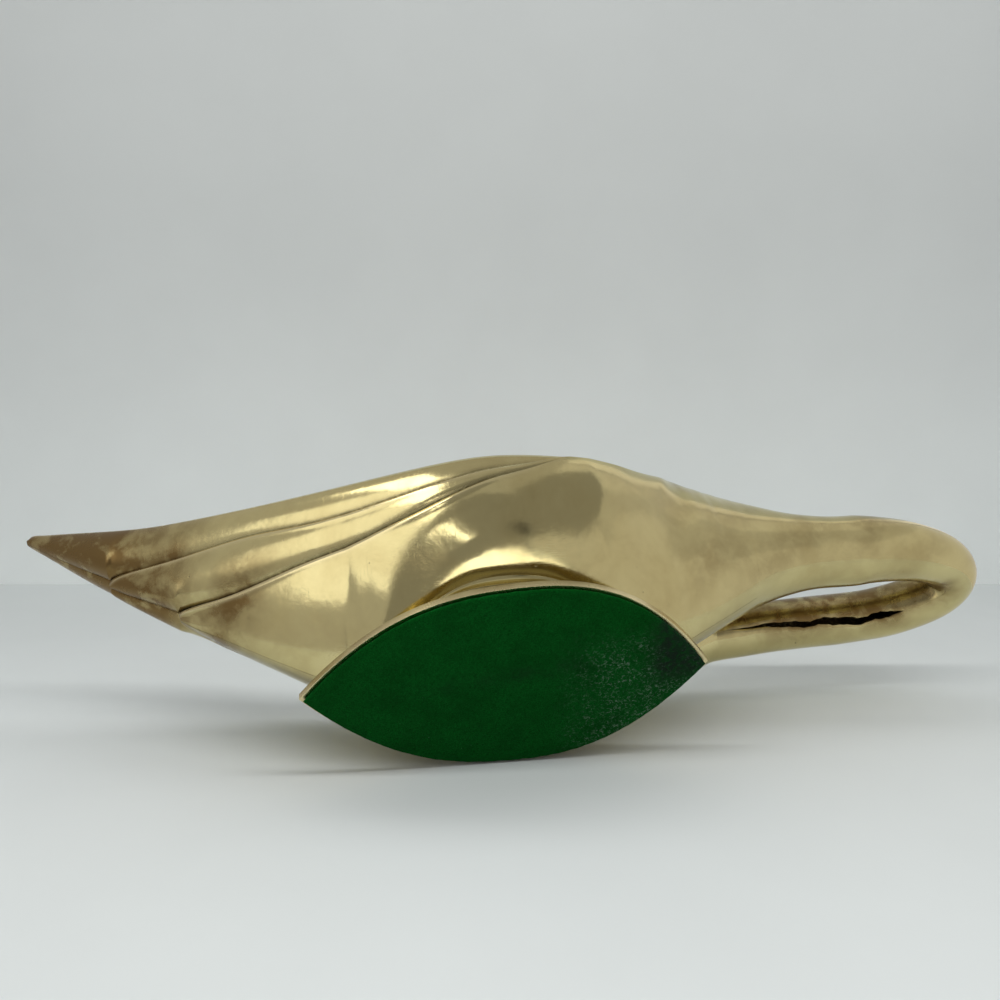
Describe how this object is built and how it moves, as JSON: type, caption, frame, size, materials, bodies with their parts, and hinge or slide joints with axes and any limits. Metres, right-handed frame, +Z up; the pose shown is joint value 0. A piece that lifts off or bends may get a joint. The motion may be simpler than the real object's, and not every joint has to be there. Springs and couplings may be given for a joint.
{
  "type": "swan planter",
  "caption": "Hollow boat-shaped bowl in the form of a swan, with overlapping tail feathers, a neck that turns back in a loop beside the body, and a leaf-shaped felt foot.",
  "frame": {"origin": "the middle of the felt pad's underside, on the surface the planter stands on", "axes": "+X towards the swan's breast and neck, +Y towards the swan's left, +Z up"},
  "size_m": [0.386, 0.125, 0.102],
  "materials": {
    "body_brass": "polished, lightly tarnished",
    "neck_brass": "polished, worn and tarnished in the bend",
    "head_brass": "polished, lightly tarnished",
    "plate_brass": "satin, dull",
    "felt": "fuzzy felt"
  },
  "bodies": {
    "root": {"body_left_half": "body_brass", "body_right_half": "body_brass", "foot_plate": "plate_brass", "felt_pad": "felt", "neck_inner_half": "neck_brass", "neck_outer_half": "neck_brass", "head": "head_brass"}
  },
  "joints": []
}
